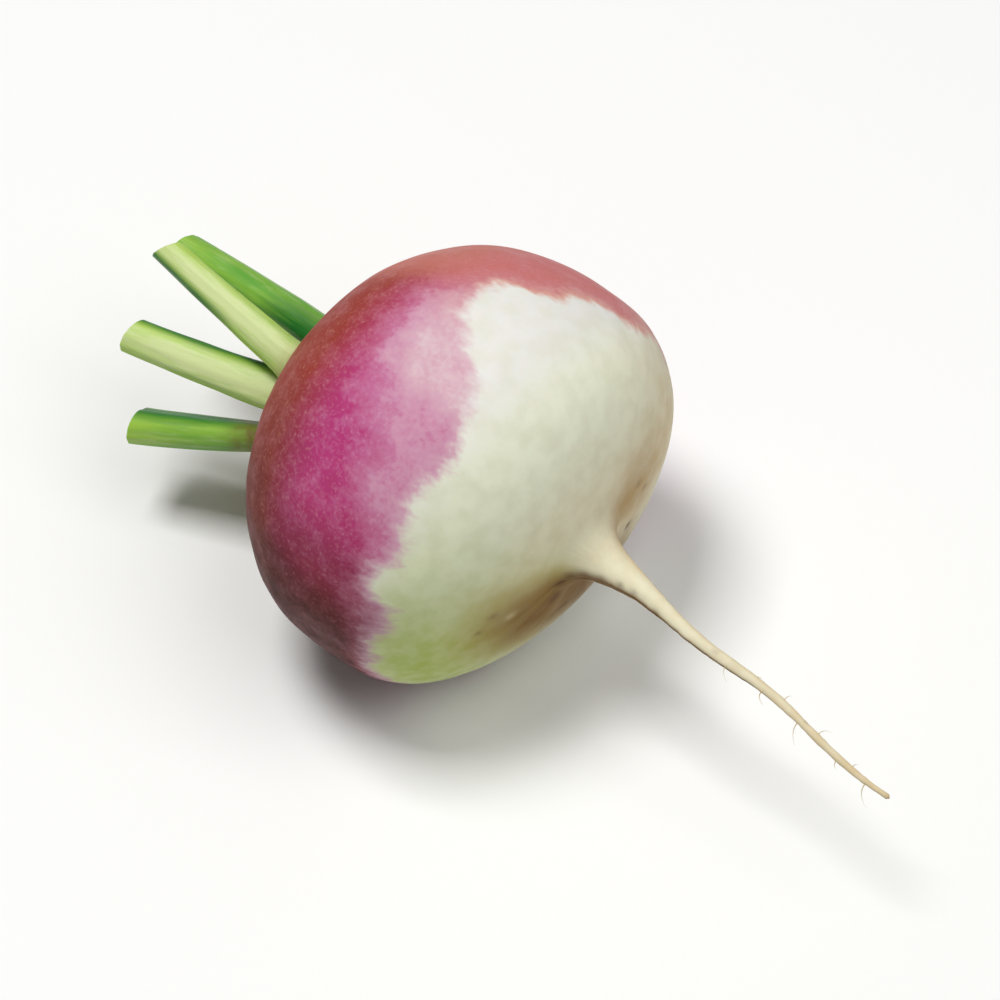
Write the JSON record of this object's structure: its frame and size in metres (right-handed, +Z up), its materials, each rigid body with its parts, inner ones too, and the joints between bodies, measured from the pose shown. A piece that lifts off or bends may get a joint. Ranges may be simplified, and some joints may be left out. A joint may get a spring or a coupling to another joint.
{
  "type": "turnip",
  "caption": "Two-coloured turnip as picked, lying on its side: round bulb with a purple crown and ivory root end, a thin taproot and cut leaf stalks.",
  "frame": {"origin": "middle of the small flat spot that the turnip lies on, under the widest circle of the bulb", "axes": "+Z up; +X along the turnip's axis from the crown to the taproot; +Y across"},
  "size_m": [0.1558, 0.0746, 0.0746],
  "materials": {
    "root_skin": "smooth thin skin with a soft gloss, magenta to brick red at the crown and ivory at the root end",
    "pale_stalk": "ribbed, fleshy, pale yellow-green with green edges, soft gloss",
    "green_stalk": "ribbed, fleshy, mid green, soft gloss",
    "young_leaf_base": "fleshy, yellow-green, trimmed flat"
  },
  "bodies": {
    "root": {"swollen_root": "root_skin", "leaf_stalk_1": "pale_stalk", "leaf_stalk_2": "green_stalk", "leaf_stalk_3": "pale_stalk", "leaf_stalk_4": "green_stalk", "heart_stub": "young_leaf_base"}
  },
  "joints": []
}
